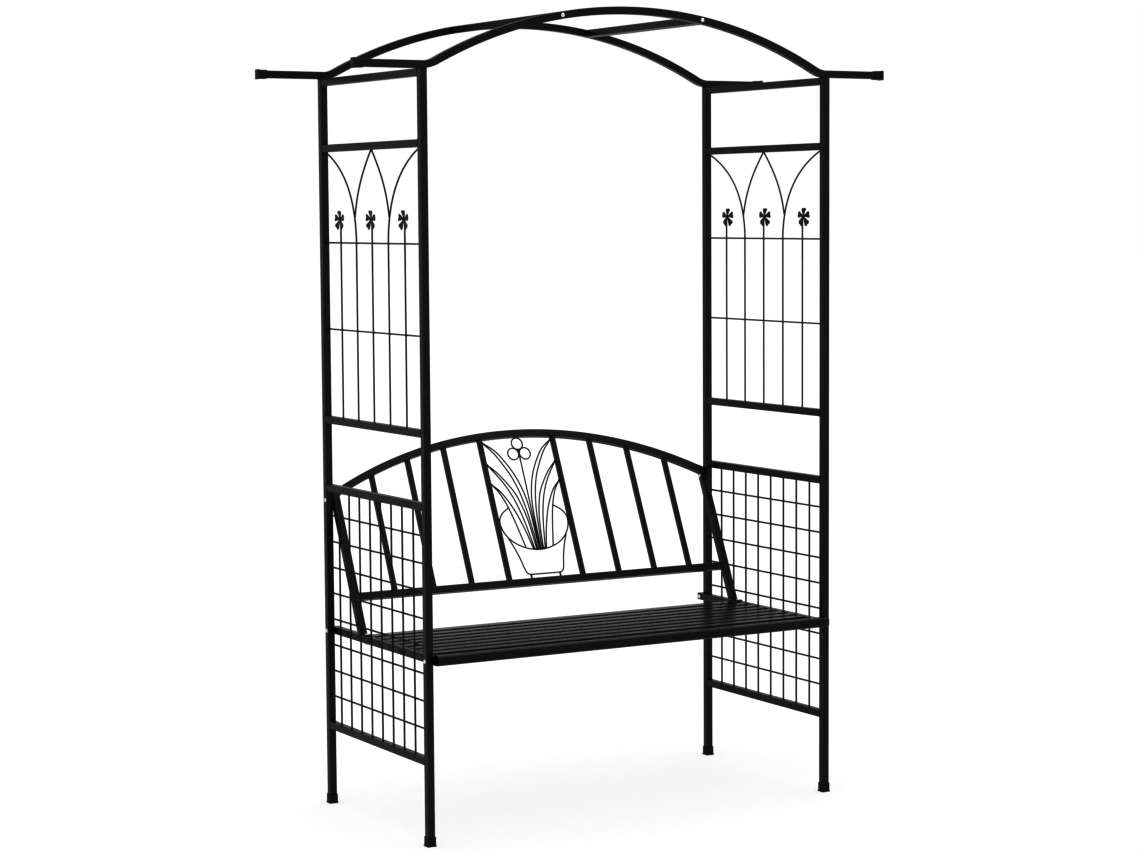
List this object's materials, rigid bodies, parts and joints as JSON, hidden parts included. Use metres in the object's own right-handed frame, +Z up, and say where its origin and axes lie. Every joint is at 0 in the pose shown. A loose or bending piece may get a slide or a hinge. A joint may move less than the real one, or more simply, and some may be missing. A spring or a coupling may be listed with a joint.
{
  "type": "garden arch bench",
  "caption": "Metal garden arch with wire and scroll side panels, two curved hoops with level wing ends, and a built-in slatted bench with a leaning arched backrest.",
  "frame": {"origin": "on the ground, under the centre of the whole object's box", "axes": "+X across the width, -Y towards the front of the bench, +Z up"},
  "size_m": [1.5394, 0.6732, 2.0515],
  "materials": {
    "coat": "satin black powder coat on steel tube and wire",
    "plastic": "moulded black plastic caps, faint sheen",
    "zinc": "bright zinc plated bolts and screws"
  },
  "bodies": {
    "root": {"backrest_strut_left": "coat", "backrest_strut_right": "coat", "backrest_arch_bar": "coat", "backrest_bottom_bar": "coat", "backrest_slat_1": "coat", "backrest_slat_2": "coat", "backrest_slat_3": "coat", "backrest_slat_4": "coat", "backrest_slat_5": "coat", "backrest_slat_6": "coat", "backrest_slat_7": "coat", "backrest_slat_8": "coat", "backrest_ornament": "coat", "post_front_left": "coat", "foot_cap_front_left": "plastic", "post_rear_left": "coat", "foot_cap_rear_left": "plastic", "side_rail_top_left": "coat", "scroll_panel_left": "coat", "mesh_panel_left": "coat", "post_front_right": "coat", "foot_cap_front_right": "plastic", "post_rear_right": "coat", "foot_cap_rear_right": "plastic", "side_rail_top_right": "coat", "scroll_panel_right": "coat", "mesh_panel_right": "coat", "hoop_front": "coat", "wing_cap_front_left": "plastic", "wing_cap_front_right": "plastic", "hoop_rear": "coat", "wing_cap_rear_left": "plastic", "wing_cap_rear_right": "plastic", "crossbar_left": "coat", "crossbar_screw_front_left": "zinc", "crossbar_screw_rear_left": "zinc", "crossbar_right": "coat", "crossbar_screw_front_right": "zinc", "crossbar_screw_rear_right": "zinc", "seat_side_bar_left": "coat", "seat_side_bar_right": "coat", "seat_front_bar": "coat", "seat_slat_1": "coat", "seat_slat_2": "coat", "seat_slat_3": "coat", "seat_slat_4": "coat", "seat_slat_5": "coat", "seat_slat_6": "coat", "seat_slat_7": "coat", "seat_slat_8": "coat", "seat_rear_bar": "coat", "seat_bolt_front_left": "zinc", "seat_bolt_rear_left": "zinc", "backrest_bolt_left": "zinc", "strut_foot_bolt_left": "zinc", "seat_bolt_front_right": "zinc", "seat_bolt_rear_right": "zinc", "backrest_bolt_right": "zinc", "strut_foot_bolt_right": "zinc"}
  },
  "joints": []
}
